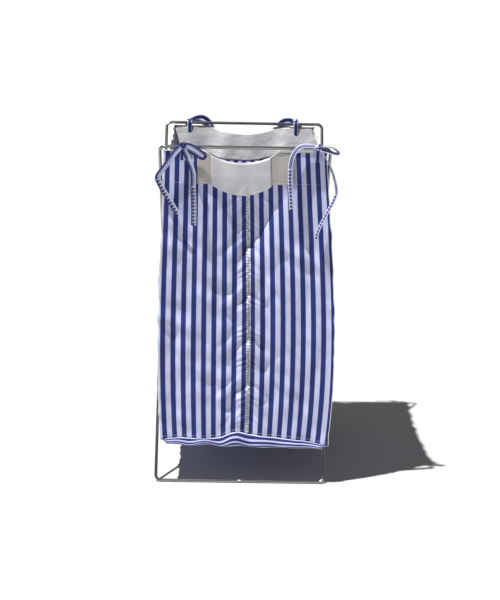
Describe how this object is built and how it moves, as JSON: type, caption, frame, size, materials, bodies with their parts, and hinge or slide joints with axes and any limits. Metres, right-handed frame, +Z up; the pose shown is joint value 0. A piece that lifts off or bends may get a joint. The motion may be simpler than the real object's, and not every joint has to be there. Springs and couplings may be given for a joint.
{
  "type": "cloth sack on a folding wire stand",
  "caption": "Striped cloth sack with a silver-faced mouth, tied with tapes between the top bars of a crossed wire stand that folds flat.",
  "frame": {"origin": "on the floor, midway between the two foot bars and between the side legs", "axes": "+Z up, +X to the right along the bars, -Y towards the side with the outer band and the front ties"},
  "size_m": [0.3324, 0.4111, 0.6532],
  "materials": {
    "wire": "satin bright wire",
    "rivet": "satin",
    "striped_cloth": "cotton shirting in blue and white stripes",
    "facing": "silver-grey coated cotton",
    "tie_tape": "sewn tape of the striped cloth"
  },
  "bodies": {
    "inner_frame": {"inner_loop": "wire", "inner_foot": "wire", "left_rivet": "rivet", "right_rivet": "rivet", "left_spacer": "rivet", "right_spacer": "rivet", "front_left_panel": "striped_cloth", "front_right_panel": "striped_cloth", "front_seam": "striped_cloth", "back_left_panel": "striped_cloth", "back_right_panel": "striped_cloth", "back_seam": "striped_cloth", "left_gusset": "striped_cloth", "right_gusset": "striped_cloth", "bottom_panel": "striped_cloth", "front_facing": "facing", "back_facing": "facing", "left_facing": "facing", "right_facing": "facing", "front_band": "facing", "front_left_tab": "facing", "front_right_tab": "facing", "front_left_wrap": "tie_tape", "front_left_knot": "tie_tape", "front_left_bow": "tie_tape", "front_left_tail": "tie_tape", "front_left_end": "tie_tape", "front_right_wrap": "tie_tape", "front_right_knot": "tie_tape", "front_right_bow": "tie_tape", "front_right_tail": "tie_tape", "front_right_end": "tie_tape"},
    "outer_frame": {"outer_loop": "wire", "outer_foot": "wire", "back_left_wrap": "tie_tape", "back_left_knot": "tie_tape", "back_left_bow": "tie_tape", "back_left_tail": "tie_tape", "back_right_wrap": "tie_tape", "back_right_knot": "tie_tape", "back_right_bow": "tie_tape", "back_right_tail": "tie_tape"}
  },
  "joints": [
    {"name": "fold", "type": "hinge", "parent": "inner_frame", "child": "outer_frame", "pos_m": [0, 0, 0.322], "axis": [1, 0, 0], "range_deg": [0, 57.5], "deforming": ["front_left_panel", "front_right_panel", "front_seam", "back_left_panel", "back_right_panel", "back_seam", "left_gusset", "right_gusset", "bottom_panel", "front_facing", "back_facing", "left_facing", "right_facing"]}
  ]
}
